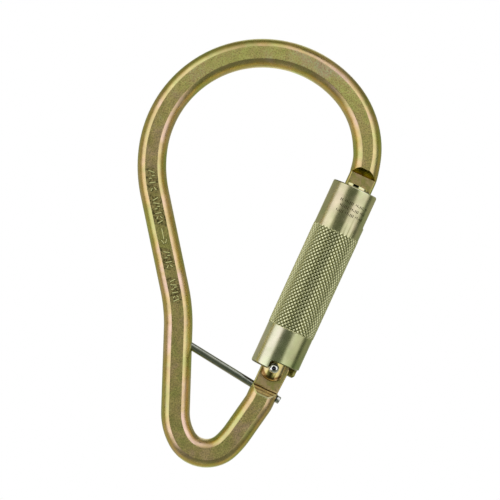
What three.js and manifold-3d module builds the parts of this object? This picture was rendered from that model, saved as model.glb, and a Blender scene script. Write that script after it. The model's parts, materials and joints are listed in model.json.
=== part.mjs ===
// Large steel locking carabiner, modelled as it hangs from an anchor.
//
// Millimetres. The origin is the seat of the top bow, where the anchor bears, and the load line
// runs straight down from it. +Z is up, +X points to the gate side and -Y is the front.
// The gate and its sleeve are built on a leaning gate line: x across it, z along it from the hinge.

import * as THREE from 'three';
import { mergeVertices } from 'three/addons/utils/BufferGeometryUtils.js';
import Module from 'manifold-3d';

const wasm = await Module();
wasm.setup();

const RUNNING_GAP = 0.3;
const PAST = 1;

// ---- bar ----
const BAR_RADIUS = 6.5;
const BAR_HALF_FLAT = 5.9;
const BAR_STEPS = 100;
const BAR_ARC_SIDES = 5;

// ---- gate line ----
const HINGE_X = 24.45;
const HINGE_Z = -132.4;
const GATE_LEAN = 13.5;

// ---- tangs at the two ends of the bar ----
const TANG_HALF_THICKNESS = 3;
const HINGE_TANG_OFFSET = 0.45;
const HINGE_TANG_HALF_WIDTH = 6;
const HINGE_EYE_FLARE = 0.5;
const HINGE_SHOULDER = -10.1;
const CAM_RADIUS = 6;
const CAM_RISE_PER_RADIAN = 1.5;
const CAM_OVERRUN = 8;
const CAM_STEPS = 12;
const CAM_CORNER = 2;
const NOSE_TANG_OFFSET = 0.75;
const NOSE_TANG_HALF_WIDTH = 6.4;
const NOSE_SHOULDER = 95.1;
const NOSE_TIP = 75.5;
const NOSE_TIP_BEVEL = 1;
const LATCH_HEIGHT = 82;
const LATCH_PIN_RADIUS = 2;

// ---- gate ----
const GATE_RADIUS = 5.8;
const GATE_TOP = 90.9;
const GATE_TOP_CHAMFER = 1;
const FORK_HALF_WIDTH = TANG_HALF_THICKNESS + RUNNING_GAP;
const GATE_OPEN_ANGLE = 45;
const HINGE_FORK_DEPTH = 9;
const NOSE_FORK_FLOOR = 73.8;
const SPRING_BORE_RADIUS = 3.1;
const SPRING_BORE_END = 40;
const GATE_SPRING_WIRE = 0.45;
const PLUNGER_TIP = CAM_RADIUS + RUNNING_GAP;
const PLUNGER_RADIUS = SPRING_BORE_RADIUS - RUNNING_GAP;
const PLUNGER_TOP = 15;
const SPRING_TURNS = 8;

// ---- rivet ----
const RIVET_RADIUS = 2;
const RIVET_HEAD_RADIUS = 2.33;
const RIVET_UNDER_HEAD = GATE_RADIUS + RUNNING_GAP;
const RIVET_DOME_FOOT = 7.7;
const RIVET_BACK_HEAD = 1.5;
const RIVET_BACK_EDGE = 0.6;

// ---- sleeve ----
const SLEEVE_RADIUS = 10.8;
const KNURL_RADIUS = 10.95;
const KNURL_STEP = 0.25;
const SLEEVE_EDGE = 0.8;
const SLEEVE_EDGE_BULGE = 0.24;
const SLEEVE_BORE = 9.5;
const SLEEVE_BORE_CHAMFER = 0.5;
const SLEEVE_NECK_BORE = 8.2;
const SLEEVE_FOOT = -1.2;
const SLEEVE_TOP = 88.8;
const KNURL_FOOT = 18.3;
const KNURL_TOP = 67.5;
const NECK_FOOT = 68.2;
const SLOT_HALF_WIDTH = 3.5;
const SLOT_FLOOR = 73.8;
const WINDOW_TOP = 3;
const WINDOW_FROM = -15;
const WINDOW_TO = 113;

// ---- parts between sleeve and gate ----
const BUSH_BORE = GATE_RADIUS + RUNNING_GAP;
const BUSH_RADIUS = SLEEVE_BORE - RUNNING_GAP;
const BUSH_FOOT = 5.4;
const BUSH_TOP = 10.5;
const RING_BORE = 7.2;
const RING_FOOT = 4;
const RING_HALF_GAP = 1.2;
const COLLAR_FOOT = 64.4;
const COLLAR_TOP = 67.9;
const COLLAR_PIN_RADIUS = 1;
const COLLAR_PIN_HEIGHT = (COLLAR_FOOT + COLLAR_TOP) / 2;
const SLEEVE_SPRING_WIRE = 0.75;

// ---- captive pin ----
const PIN_RADIUS = 1.75;
const PIN_START = new THREE.Vector3(-19, 0, -128.3);
const PIN_END = new THREE.Vector3(29.96, 0, -146.7);

const radians = THREE.MathUtils.degToRad;
const gatePlace = new THREE.Matrix4()
  .makeRotationY(radians(GATE_LEAN))
  .setPosition(HINGE_X, 0, HINGE_Z);

// A point on the gate line, in the part's own frame.
function onGateLine(across, along) {
  return new THREE.Vector3(across, 0, along).applyMatrix4(gatePlace);
}

// ---- joining and cutting ----

function toSolid(geometry) {
  const bare = geometry.index ? geometry.toNonIndexed() : geometry.clone();
  bare.deleteAttribute('normal');
  bare.deleteAttribute('uv');
  const merged = mergeVertices(bare, 1e-4);
  return new wasm.Manifold(new wasm.Mesh({
    numProp: 3,
    vertProperties: merged.attributes.position.array,
    triVerts: new Uint32Array(merged.index.array),
  }));
}

function toGeometry(solid) {
  const mesh = solid.getMesh();
  const geometry = new THREE.BufferGeometry();
  geometry.setAttribute('position', new THREE.BufferAttribute(mesh.vertProperties, 3));
  geometry.setIndex(new THREE.BufferAttribute(mesh.triVerts, 1));
  const flat = geometry.toNonIndexed();
  flat.computeVertexNormals();
  return flat;
}

function join(first, ...others) {
  return others.reduce((whole, other) => whole.add(toSolid(other)), first);
}

function cut(first, ...tools) {
  return tools.reduce((rest, tool) => rest.subtract(toSolid(tool)), first);
}

// ---- basic shapes ----

// A body of revolution about Z from a closed list of [radius, height] points.
function turned(profile, sides) {
  const points = profile.map(([radius, height]) => new THREE.Vector2(radius, height));
  return new THREE.LatheGeometry(points, sides).rotateX(Math.PI / 2);
}

// A round bar along Z.
function roundBar(radius, from, to, sides = 24) {
  return turned([[0, from], [radius, from], [radius, to], [0, to]], sides);
}

// A tube along Z.
function tube(bore, radius, from, to, sides = 32) {
  return turned([[bore, from], [radius, from], [radius, to], [bore, to], [bore, from]], sides);
}

// A flat plate cut to an outline in the X-Z plane, centred on Y = 0.
function plate(outline, thickness) {
  const settings = { depth: thickness, bevelEnabled: false, curveSegments: 12 };
  return new THREE.ExtrudeGeometry(outline, settings)
    .translate(0, 0, -thickness / 2)
    .rotateX(Math.PI / 2);
}

function block([x0, x1], [y0, y1], [z0, z1]) {
  return new THREE.BoxGeometry(x1 - x0, y1 - y0, z1 - z0)
    .translate((x0 + x1) / 2, (y0 + y1) / 2, (z0 + z1) / 2);
}

// ---- curves ----

// An arc in the X-Z plane that leaves `start` along `heading` and turns by `turn`, both in radians.
class Bend extends THREE.Curve {
  constructor(start, heading, radius, turn) {
    super();
    this.side = Math.sign(turn);
    this.radius = radius;
    this.heading = heading;
    this.turn = turn;
    const toCentre = heading + this.side * Math.PI / 2;
    this.centre = new THREE.Vector3(
      start.x + radius * Math.cos(toCentre), 0, start.z + radius * Math.sin(toCentre));
  }

  getPoint(t, target = new THREE.Vector3()) {
    const angle = this.heading - this.side * Math.PI / 2 + this.turn * t;
    return target.set(
      this.centre.x + this.radius * Math.cos(angle), 0,
      this.centre.z + this.radius * Math.sin(angle));
  }
}

class Helix extends THREE.Curve {
  constructor(radius, from, to, turns) {
    super();
    this.radius = radius;
    this.from = from;
    this.to = to;
    this.turns = turns;
  }

  getPoint(t, target = new THREE.Vector3()) {
    const angle = 2 * Math.PI * this.turns * t;
    return target.set(
      this.radius * Math.cos(angle),
      this.radius * Math.sin(angle),
      this.from + (this.to - this.from) * t);
  }
}

// A path of straight lengths and bends, each following on from the last.
function bentPath(start, headingDegrees, stretches) {
  const path = new THREE.CurvePath();
  let at = start.clone();
  let heading = radians(headingDegrees);
  for (const { length, radius, turn = 0 } of stretches) {
    const end = new THREE.Vector3(
      at.x + (length ?? 0) * Math.cos(heading), 0, at.z + (length ?? 0) * Math.sin(heading));
    const stretch = turn
      ? new Bend(at, heading, radius, radians(turn))
      : new THREE.LineCurve3(at, end);
    path.add(stretch);
    at = stretch.getPoint(1);
    heading += radians(turn);
  }
  return path;
}

function spring(coilRadius, wireRadius, from, to, turns, stepsPerTurn, sides) {
  const wire = new THREE.Shape();
  wire.absarc(0, 0, wireRadius, 0, 2 * Math.PI);
  return new THREE.ExtrudeGeometry(wire, {
    steps: turns * stepsPerTurn,
    curveSegments: sides,
    extrudePath: new Helix(coilRadius, from, to, turns),
  });
}

// ---- body: one bent bar with a milled tang at each end ----

// Round bar with a narrow pressed flat on the front and the back.
function barSection() {
  const edge = Math.acos(BAR_HALF_FLAT / BAR_RADIUS);
  const section = new THREE.Shape();
  section.absarc(0, 0, BAR_RADIUS, edge, Math.PI - edge);
  section.absarc(0, 0, BAR_RADIUS, Math.PI + edge, 2 * Math.PI - edge);
  section.closePath();
  return section;
}

// The centre line, from the hinge shoulder down round the bottom bow, up the spine and over the
// top bow to the nose shoulder.
function barPath() {
  const start = onGateLine(HINGE_TANG_OFFSET, HINGE_SHOULDER);
  return bentPath(start, -90 - GATE_LEAN, [
    { length: 6 },
    { radius: 12, turn: -10.4 },
    { length: 15.2 },
    { radius: 38.8, turn: -12.3 },
    { radius: 12.7, turn: -103.4 },
    { radius: 24.2, turn: -31.1 },
    { length: 37.2 },
    { radius: 75, turn: 13.7 },
    { length: 44.4 },
    { radius: 58.4, turn: -20.6 },
    { radius: 49.7, turn: -131 },
    { radius: 40.1, turn: -56.1 },
    { length: 0.8 },
    { radius: 12, turn: -8.8 },
  ]);
}

// What is milled away beside a tang, on one face: it starts at the shoulder and its end slopes
// out at 45 degrees.
function tangCutter(shoulder, towards, face) {
  const reach = 2 * BAR_RADIUS;
  const outline = new THREE.Shape();
  outline.moveTo(TANG_HALF_THICKNESS, shoulder);
  outline.lineTo(TANG_HALF_THICKNESS, shoulder + towards * reach);
  outline.lineTo(TANG_HALF_THICKNESS + reach, shoulder + towards * reach);
  outline.lineTo(TANG_HALF_THICKNESS + reach, shoulder - towards * reach);
  outline.closePath();
  return plate(outline, 4 * BAR_RADIUS)
    .rotateZ(face * Math.PI / 2)
    .applyMatrix4(gatePlace);
}

// Hinge tang: it widens a little towards its rivet hole, and its end is a cam whose radius grows
// towards the inner side.
function hingeTang() {
  const left = HINGE_TANG_OFFSET - HINGE_TANG_HALF_WIDTH;
  const right = HINGE_TANG_OFFSET + HINGE_TANG_HALF_WIDTH;
  const eyeMiddle = right - CAM_RADIUS;
  const outline = new THREE.Shape();
  outline.moveTo(left, HINGE_SHOULDER - PAST);
  outline.lineTo(right, HINGE_SHOULDER - PAST);
  outline.lineTo(right + HINGE_EYE_FLARE, 0);
  outline.absellipse(eyeMiddle, 0, CAM_RADIUS + HINGE_EYE_FLARE, CAM_RADIUS, 0, Math.PI / 2);
  const camEnd = radians(GATE_OPEN_ANGLE + CAM_OVERRUN);
  for (let step = 0; step <= CAM_STEPS; step += 1) {
    const turn = camEnd * step / CAM_STEPS;
    const radius = CAM_RADIUS + CAM_RISE_PER_RADIAN * turn;
    outline.lineTo(-radius * Math.sin(turn), radius * Math.cos(turn));
  }
  outline.lineTo(left, CAM_CORNER);
  outline.closePath();
  const hole = new THREE.Path();
  hole.absarc(0, 0, RIVET_RADIUS + RUNNING_GAP, 0, 2 * Math.PI, true);
  outline.holes.push(hole);
  return plate(outline, 2 * TANG_HALF_THICKNESS).applyMatrix4(gatePlace);
}

// Nose tang: a hook whose notch opens inwards and takes the gate's latch pin.
function noseTang() {
  const left = NOSE_TANG_OFFSET - NOSE_TANG_HALF_WIDTH;
  const right = NOSE_TANG_OFFSET + NOSE_TANG_HALF_WIDTH;
  const notch = LATCH_PIN_RADIUS + RUNNING_GAP;
  const bevel = NOSE_TIP_BEVEL;
  const outline = new THREE.Shape();
  outline.moveTo(left + bevel, NOSE_TIP);
  outline.lineTo(right - bevel, NOSE_TIP);
  outline.lineTo(right, NOSE_TIP + bevel);
  outline.lineTo(right, NOSE_SHOULDER + PAST);
  outline.lineTo(left, NOSE_SHOULDER + PAST);
  outline.lineTo(left, LATCH_HEIGHT + notch);
  outline.lineTo(0, LATCH_HEIGHT + notch);
  outline.absarc(0, LATCH_HEIGHT, notch, Math.PI / 2, -Math.PI / 2, true);
  outline.lineTo(left, LATCH_HEIGHT - notch);
  outline.lineTo(left, NOSE_TIP + bevel);
  outline.closePath();
  return plate(outline, 2 * TANG_HALF_THICKNESS).applyMatrix4(gatePlace);
}

// A round bar between two points.
function barBetween(start, end, radius, sides = 20) {
  const along = end.clone().sub(start);
  const turn = new THREE.Quaternion()
    .setFromUnitVectors(new THREE.Vector3(0, 0, 1), along.clone().normalize());
  return roundBar(radius, 0, along.length(), sides)
    .applyQuaternion(turn)
    .translate(start.x, start.y, start.z);
}

function makeBody() {
  const bar = new THREE.ExtrudeGeometry(barSection(), {
    steps: BAR_STEPS,
    curveSegments: BAR_ARC_SIDES,
    extrudePath: barPath(),
  });
  const cutters = [1, -1].flatMap((face) => [
    tangCutter(HINGE_SHOULDER, 1, face),
    tangCutter(NOSE_SHOULDER, -1, face),
  ]);
  const milled = cut(toSolid(bar), ...cutters);
  const tanged = join(milled, hingeTang(), noseTang());
  const along = PIN_END.clone().sub(PIN_START).normalize();
  const holeStart = PIN_START.clone().addScaledVector(along, -RUNNING_GAP);
  const holeEnd = PIN_END.clone().addScaledVector(along, PAST);
  return toGeometry(cut(tanged, barBetween(holeStart, holeEnd, PIN_RADIUS + RUNNING_GAP)));
}

// ---- gate and what it carries ----

// A round hole or pin across the gate, along Y.
function crossBar(radius, halfLength, height, sides = 20) {
  return roundBar(radius, -halfLength, halfLength, sides)
    .rotateX(Math.PI / 2)
    .translate(0, 0, height);
}

function makeGate() {
  const bar = turned([
    [0, -GATE_RADIUS],
    [GATE_RADIUS, -GATE_RADIUS],
    [GATE_RADIUS, GATE_TOP - GATE_TOP_CHAMFER],
    [GATE_RADIUS - GATE_TOP_CHAMFER, GATE_TOP],
    [0, GATE_TOP],
  ], 36);
  // the round end of the two hinge ears
  const beyond = 2 * GATE_RADIUS;
  const earEnd = new THREE.Shape();
  earEnd.moveTo(-beyond, 0);
  earEnd.lineTo(-beyond, -beyond);
  earEnd.lineTo(beyond, -beyond);
  earEnd.lineTo(beyond, 0);
  earEnd.lineTo(GATE_RADIUS, 0);
  earEnd.absarc(0, 0, GATE_RADIUS, 0, -Math.PI, true);
  earEnd.closePath();
  const gate = cut(
    toSolid(bar),
    plate(earEnd, 2 * beyond),
    block([-beyond, beyond], [-FORK_HALF_WIDTH, FORK_HALF_WIDTH], [-beyond, HINGE_FORK_DEPTH]),
    block([-beyond, beyond], [-FORK_HALF_WIDTH, FORK_HALF_WIDTH], [NOSE_FORK_FLOOR, GATE_TOP + PAST]),
    roundBar(SPRING_BORE_RADIUS, HINGE_FORK_DEPTH - PAST, SPRING_BORE_END, 20),
    crossBar(RIVET_RADIUS + RUNNING_GAP, beyond, 0),
    crossBar(LATCH_PIN_RADIUS + RUNNING_GAP, beyond, LATCH_HEIGHT),
    crossBar(COLLAR_PIN_RADIUS + RUNNING_GAP, beyond, COLLAR_PIN_HEIGHT, 12),
  );
  return toGeometry(gate);
}

// Rivet with a tall domed head at the front and a low one at the back.
function makeRivet() {
  const backEnd = -RIVET_UNDER_HEAD - RIVET_BACK_HEAD;
  const profile = [
    [0, backEnd],
    [RIVET_HEAD_RADIUS - RIVET_BACK_EDGE, backEnd],
    [RIVET_HEAD_RADIUS, backEnd + RIVET_BACK_EDGE],
    [RIVET_HEAD_RADIUS, -RIVET_UNDER_HEAD],
    [RIVET_RADIUS, -RIVET_UNDER_HEAD],
    [RIVET_RADIUS, RIVET_UNDER_HEAD],
    [RIVET_HEAD_RADIUS, RIVET_UNDER_HEAD],
  ];
  const domeSteps = 5;
  for (let step = 0; step < domeSteps; step += 1) {
    const rise = (Math.PI / 2) * step / domeSteps;
    const radius = RIVET_HEAD_RADIUS * Math.cos(rise);
    profile.push([radius, RIVET_DOME_FOOT + RIVET_HEAD_RADIUS * Math.sin(rise)]);
  }
  profile.push([0, RIVET_DOME_FOOT + RIVET_HEAD_RADIUS]);
  return turned(profile, 20).rotateX(Math.PI / 2);
}

function makeLatchPin() {
  return crossBar(LATCH_PIN_RADIUS, GATE_RADIUS - RUNNING_GAP, LATCH_HEIGHT);
}

// The collar's own pin goes right through collar and gate.
function makeCollar() {
  const ring = toSolid(tube(BUSH_BORE, BUSH_RADIUS, COLLAR_FOOT, COLLAR_TOP));
  return toGeometry(cut(ring, crossBar(COLLAR_PIN_RADIUS + RUNNING_GAP, SLEEVE_BORE, COLLAR_PIN_HEIGHT, 12)));
}

function makeCollarPin() {
  return crossBar(COLLAR_PIN_RADIUS, BUSH_RADIUS - RUNNING_GAP, COLLAR_PIN_HEIGHT, 12);
}

// ---- plunger and gate spring, in the gate's bore ----

// Plunger with a rounded nose on the cam and a spigot inside the spring.
function makePlunger() {
  const noseRadius = 1.4;
  const spigotRadius = 1.5;
  const spigotLength = 4;
  const noseSteps = 4;
  const profile = [];
  for (let step = 0; step <= noseSteps; step += 1) {
    const swing = (Math.PI / 2) * step / noseSteps;
    profile.push([noseRadius * Math.sin(swing), PLUNGER_TIP + noseRadius * (1 - Math.cos(swing))]);
  }
  profile.push([PLUNGER_RADIUS, PLUNGER_TIP + 3 * noseRadius]);
  profile.push([PLUNGER_RADIUS, PLUNGER_TOP], [spigotRadius, PLUNGER_TOP]);
  profile.push([spigotRadius, PLUNGER_TOP + spigotLength], [0, PLUNGER_TOP + spigotLength]);
  return turned(profile, 20);
}

function makeGateSpring() {
  const clearance = GATE_SPRING_WIRE + RUNNING_GAP;
  return spring(PLUNGER_RADIUS - GATE_SPRING_WIRE, GATE_SPRING_WIRE,
    PLUNGER_TOP + clearance, SPRING_BORE_END - clearance, SPRING_TURNS, 10, 3);
}

// ---- sleeve and what it carries ----

function sleeveProfile() {
  return [
    [SLEEVE_BORE + SLEEVE_BORE_CHAMFER, SLEEVE_FOOT],
    [SLEEVE_RADIUS - SLEEVE_EDGE, SLEEVE_FOOT],
    [SLEEVE_RADIUS - SLEEVE_EDGE_BULGE, SLEEVE_FOOT + SLEEVE_EDGE_BULGE],
    [SLEEVE_RADIUS, SLEEVE_FOOT + SLEEVE_EDGE],
    [SLEEVE_RADIUS, KNURL_FOOT - KNURL_STEP],
    [KNURL_RADIUS, KNURL_FOOT],
    [KNURL_RADIUS, KNURL_TOP],
    [SLEEVE_RADIUS, KNURL_TOP + KNURL_STEP],
    [SLEEVE_RADIUS, SLEEVE_TOP - SLEEVE_EDGE],
    [SLEEVE_RADIUS - SLEEVE_EDGE_BULGE, SLEEVE_TOP - SLEEVE_EDGE_BULGE],
    [SLEEVE_RADIUS - SLEEVE_EDGE, SLEEVE_TOP],
    [SLEEVE_NECK_BORE, SLEEVE_TOP],
    [SLEEVE_NECK_BORE, NECK_FOOT],
    [SLEEVE_BORE, NECK_FOOT],
    [SLEEVE_BORE, SLEEVE_FOOT + SLEEVE_BORE_CHAMFER],
    [SLEEVE_BORE + SLEEVE_BORE_CHAMFER, SLEEVE_FOOT],
  ];
}

// A wedge about the gate line between two angles counted from the front towards the outer side.
function wedge(fromDegrees, toDegrees, foot, top) {
  const reach = 2 * SLEEVE_RADIUS;
  const outline = new THREE.Shape();
  outline.moveTo(0, 0);
  const steps = 8;
  for (let step = 0; step <= steps; step += 1) {
    const angle = radians(fromDegrees + (toDegrees - fromDegrees) * step / steps);
    outline.lineTo(reach * Math.sin(angle), -reach * Math.cos(angle));
  }
  outline.closePath();
  return new THREE.ExtrudeGeometry(outline, { depth: top - foot, bevelEnabled: false })
    .translate(0, 0, foot);
}

// The window in the foot lets the rivet head pass as the sleeve turns. The slot in the neck faces
// outwards and lets the nose out as the gate swings.
function makeSleeve() {
  const shell = toSolid(turned(sleeveProfile(), 40));
  const reach = 2 * SLEEVE_RADIUS;
  return toGeometry(cut(
    shell,
    wedge(WINDOW_FROM, WINDOW_TO, SLEEVE_FOOT - PAST, WINDOW_TOP),
    block([0, reach], [-SLOT_HALF_WIDTH, SLOT_HALF_WIDTH], [SLOT_FLOOR, SLEEVE_TOP + PAST]),
  ));
}

function makeBush() {
  return tube(BUSH_BORE, BUSH_RADIUS, BUSH_FOOT, BUSH_TOP);
}

// Wire snap ring with a gap, under the bush.
function makeSnapRing() {
  const ring = toSolid(tube(RING_BORE, BUSH_RADIUS, RING_FOOT, BUSH_FOOT - RUNNING_GAP, 24));
  const reach = 2 * SLEEVE_RADIUS;
  return toGeometry(cut(ring, block([-RING_HALF_GAP, RING_HALF_GAP], [0, reach], [0, BUSH_FOOT])));
}

function makeSleeveSpring() {
  const clearance = SLEEVE_SPRING_WIRE + RUNNING_GAP;
  return spring((BUSH_BORE + BUSH_RADIUS) / 2, SLEEVE_SPRING_WIRE,
    BUSH_TOP + clearance, COLLAR_FOOT - clearance, SPRING_TURNS, 12, 3);
}

// ---- materials ----

const platedBar = { color: 0xa49a5e, roughness: 0.42, metalness: 0.9 };
const platedSleeve = { color: 0xc3c08f, roughness: 0.3, metalness: 0.9 };
const platedGate = { color: 0xcdb45c, roughness: 0.25, metalness: 0.95 };
const brightSteel = { color: 0xb9bcc2, roughness: 0.15, metalness: 1 };
const greySteel = { color: 0x8c8f90, roughness: 0.35, metalness: 0.9 };
const springSteel = { color: 0x70737a, roughness: 0.3, metalness: 0.9 };
const bronze = { color: 0xa9803f, roughness: 0.4, metalness: 0.9 };

function named(name, geometry, look) {
  const mesh = new THREE.Mesh(geometry, new THREE.MeshStandardMaterial(look));
  mesh.name = name;
  return mesh;
}

// ---- assembly ----

const carabiner = new THREE.Group();
carabiner.add(
  named('body', makeBody(), platedBar),
  named('captive_pin', barBetween(PIN_START, PIN_END, PIN_RADIUS), greySteel),
);

const gateLine = new THREE.Group();
gateLine.applyMatrix4(gatePlace);
gateLine.add(
  named('gate', makeGate(), platedGate),
  named('hinge_rivet', makeRivet(), brightSteel),
  named('latch_pin', makeLatchPin(), brightSteel),
  named('upper_collar', makeCollar(), bronze),
  named('collar_pin', makeCollarPin(), brightSteel),
  named('gate_plunger', makePlunger(), brightSteel),
  named('gate_spring', makeGateSpring(), springSteel),
  named('sleeve', makeSleeve(), platedSleeve),
  named('sleeve_bush', makeBush(), bronze),
  named('snap_ring', makeSnapRing(), springSteel),
  named('sleeve_spring', makeSleeveSpring(), springSteel),
);
carabiner.add(gateLine);

export default carabiner;
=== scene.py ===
"""Locking carabiner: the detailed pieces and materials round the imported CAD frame.

Lengths in this script are in millimetres. They become metres where a mesh or a texture is made.
The gate pieces are built on the gate line: x across it, y towards the back, z along it from the hinge.
"""

import json
import math

import bmesh
import bpy
from mathutils import Matrix, Vector


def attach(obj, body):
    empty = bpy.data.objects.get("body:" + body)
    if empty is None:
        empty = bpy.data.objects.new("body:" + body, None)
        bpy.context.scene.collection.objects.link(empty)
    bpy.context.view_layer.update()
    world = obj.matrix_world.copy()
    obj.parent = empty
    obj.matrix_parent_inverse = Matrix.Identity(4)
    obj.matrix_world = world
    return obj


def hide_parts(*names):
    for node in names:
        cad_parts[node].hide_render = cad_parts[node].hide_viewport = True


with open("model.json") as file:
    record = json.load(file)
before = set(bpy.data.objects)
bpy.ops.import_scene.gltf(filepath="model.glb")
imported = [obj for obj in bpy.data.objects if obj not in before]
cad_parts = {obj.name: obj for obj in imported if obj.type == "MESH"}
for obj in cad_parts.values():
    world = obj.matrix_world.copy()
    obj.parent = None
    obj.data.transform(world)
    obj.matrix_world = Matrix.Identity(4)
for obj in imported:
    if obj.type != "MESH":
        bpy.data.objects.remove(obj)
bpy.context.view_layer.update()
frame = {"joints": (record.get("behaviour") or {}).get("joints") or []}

MM = 0.001
HINGE_JOINT = next(j for j in frame["joints"] if j["name"] == "gate_hinge")
TWIST_JOINT = next(j for j in frame["joints"] if j["name"] == "sleeve_twist")
HINGE = Vector(HINGE_JOINT["pos_m"]) / MM
GATE_UP = -Vector(TWIST_JOINT["axis"]).normalized()
GATE_LEAN = math.atan2(GATE_UP.x, GATE_UP.z)
GATE_PLACE = Matrix.Translation(HINGE) @ Matrix.Rotation(GATE_LEAN, 4, "Y")
UPRIGHT = Matrix.Identity(4)

# bar
BAR_RADIUS = 6.5
BAR_HALF_FLAT = 5.9
BAR_SIDE = 6.497
TANG_HALF_THICKNESS = 3.0
HINGE_TANG_OFFSET = 0.45
HINGE_TANG_HALF_WIDTH = 6.0
HINGE_EYE_FLARE = 0.5
HINGE_TANG_END = 7.6
HINGE_SHOULDER = -10.1
NOSE_SHOULDER = 95.1
NOSE_TIP = 75.5
NOSE_TANG_OFFSET = 0.75
NOSE_TANG_HALF_WIDTH = 6.4
NOSE_TIP_BEVEL = 1.2
CUTTER_PITCH = 1.25
CAM_RADIUS = 6.0
CAM_RISE_PER_RADIAN = 1.5
CAM_SPARE_DEGREES = 8
LATCH_HEIGHT = 82.0
CLEARANCE = 0.3
PIN_CLEARANCE = 0.12
# half the length of a cutter that goes right through the bar or the gate
THROUGH = 10.0
# how far a cutter reaches when only its near side matters
FAR = 20.0

# gate
GATE_RADIUS = 5.8
GATE_TOP = 90.25
GATE_CROWN = 0.35
TOP_NOTCH = (-1.9, 0.7)
TOP_NOTCH_DEPTH = 0.9
TOP_NOTCH_REACH = 1.5
EAR_RADIUS = 6.2
EAR_RIM_RISE = 2.5
EAR_RIM_DEPTH = 2.3
FORK_HALF_WIDTH = 3.3
HINGE_FORK_DEPTH = 9.0
NOSE_FORK_FLOOR = 73.8
SPRING_BORE_RADIUS = 3.1
SPRING_BORE_END = 40.0
RIVET_RADIUS = 2.0
RIVET_HEAD_RADIUS = 2.33
RIVET_DOME_FOOT = 8.4
RIVET_DOME_RADIUS = 2.5
RIVET_HOLLOW_RADIUS = 0.95
RIVET_HOLLOW_DEPTH = 1.0
PEENED_EDGE = 0.4
PEENED_RISE = 1.2
LATCH_PIN_RADIUS = 2.0

# sleeve
SLEEVE_RADIUS = 10.8
SLEEVE_BORE = 9.5
NECK_BORE = 8.2
NECK_FOOT = 68.2
SLEEVE_FOOT = -1.2
SLEEVE_TOP = 88.8
KNURL_RADIUS = 10.95
KNURL_DEPTH = 0.4
KNURL_FLANK = 0.55
KNURL_FOOT = 18.3
KNURL_TOP = 67.5
KNURL_STARTS = 35
KNURL_PITCH = 2.04
KNURL_DIVISIONS = 8
WINDOW_TOP = 3.0
WINDOW_FROM = -15.0
WINDOW_TO = 107.5
SLOT_HALF_WIDTH = 3.5
SLOT_FLOOR = 73.8
WINDOW_CORNER = 1.6
WINDOW_FLARES = (1.0, 1.5)
SLOT_CORNER = 1.2
SLOT_FLARES = (0.7, 0.7)
EDGE_CHAMFER = 0.5
FOOT_EDGE = (0.9, 1.1)
TICK_ROWS = (81.5, 79.0, 76.5)
TICKS_FROM = -26.0
TICKS_TO = 50.0
TICKS_PER_ROW = 19
TICK_DEPTH = 0.2
TICK_HALF_WIDTH = 0.17
# half the height and the lift of each kind of tick, and a gap
TICK_KINDS = ((0.65, 0.0), (0.35, 0.2), (0.6, 0.0), None, (0.25, -0.25), (0.65, 0.0), (0.5, 0.1))

# small parts on the gate line
BUSH_BORE = 6.1
BUSH_RADIUS = 9.2
BUSH_SPAN = (5.4, 10.5)
RING_BORE = 7.2
RING_SPAN = (4.0, 5.1)
RING_HALF_GAP = 1.2
COLLAR_SPAN = (64.4, 67.9)
COLLAR_PIN_RADIUS = 1.0
PLUNGER_RADIUS = 2.8
PLUNGER_TIP_RADIUS = 1.4
PLUNGER_NOSE = 4.2
PLUNGER_TOP = 15.0
SPIGOT_RADIUS = 1.5
SPIGOT_LENGTH = 4.0
CLOSING_SPRING = {"coil_radius": 2.35, "wire_radius": 0.45, "low": 16.9, "high": 39.2, "turns": 9}
TWIST_SPRING = {"coil_radius": 7.65, "wire_radius": 0.75, "low": 11.6, "high": 63.3, "turns": 9}

# captive pin, from its blind end in the spine to its free end
PIN_RADIUS = 1.75
PIN_START = Vector((-19.0, 0.0, -128.3))
PIN_END = Vector((29.96, 0.0, -146.7))
PIN_LINE = PIN_END - PIN_START
PIN_PLACE = Matrix.Translation(PIN_START) @ PIN_LINE.to_track_quat("Z", "Y").to_matrix().to_4x4()


# ---------------------------------------------------------------- meshes

def link_mesh(name, mesh):
    piece = bpy.data.objects.new(name, mesh)
    bpy.context.scene.collection.objects.link(piece)
    return piece


def mesh_from(bm, name):
    """A mesh with its faces turned outwards, made from a bmesh that is then freed."""
    bmesh.ops.recalc_face_normals(bm, faces=bm.faces)
    mesh = bpy.data.meshes.new(name)
    bm.to_mesh(mesh)
    bm.free()
    return mesh


def finish_mesh(bm, name, place, sharp_degrees=32.0):
    """Turns a bmesh in millimetres into a smooth-shaded object in metres."""
    mesh = mesh_from(bm, name)
    mesh.transform(Matrix.Scale(MM, 4) @ place)
    mesh.polygons.foreach_set("use_smooth", [True] * len(mesh.polygons))
    mesh.set_sharp_from_angle(angle=math.radians(sharp_degrees))
    return link_mesh(name, mesh)


def join(bm, rings):
    """Joins rings of vertices, all of one length, with quads."""
    for lower, upper in zip(rings, rings[1:]):
        for j in range(len(lower)):
            k = (j + 1) % len(lower)
            bm.faces.new((lower[j], lower[k], upper[k], upper[j]))


def skin(bm, rings):
    """Joins rings of vertices and caps the two ends."""
    join(bm, rings)
    bm.faces.new(list(reversed(rings[0])))
    bm.faces.new(rings[-1])


def creased(bm, corners):
    """Two triangles for a four-cornered face, split between the corners that are nearer the axis."""
    a, b, c, d = corners
    reach = [math.hypot(v.co.x, v.co.y) for v in corners]
    if reach[0] + reach[2] < reach[1] + reach[3]:
        bm.faces.new((a, b, c))
        bm.faces.new((a, c, d))
    else:
        bm.faces.new((a, b, d))
        bm.faces.new((b, c, d))


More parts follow.
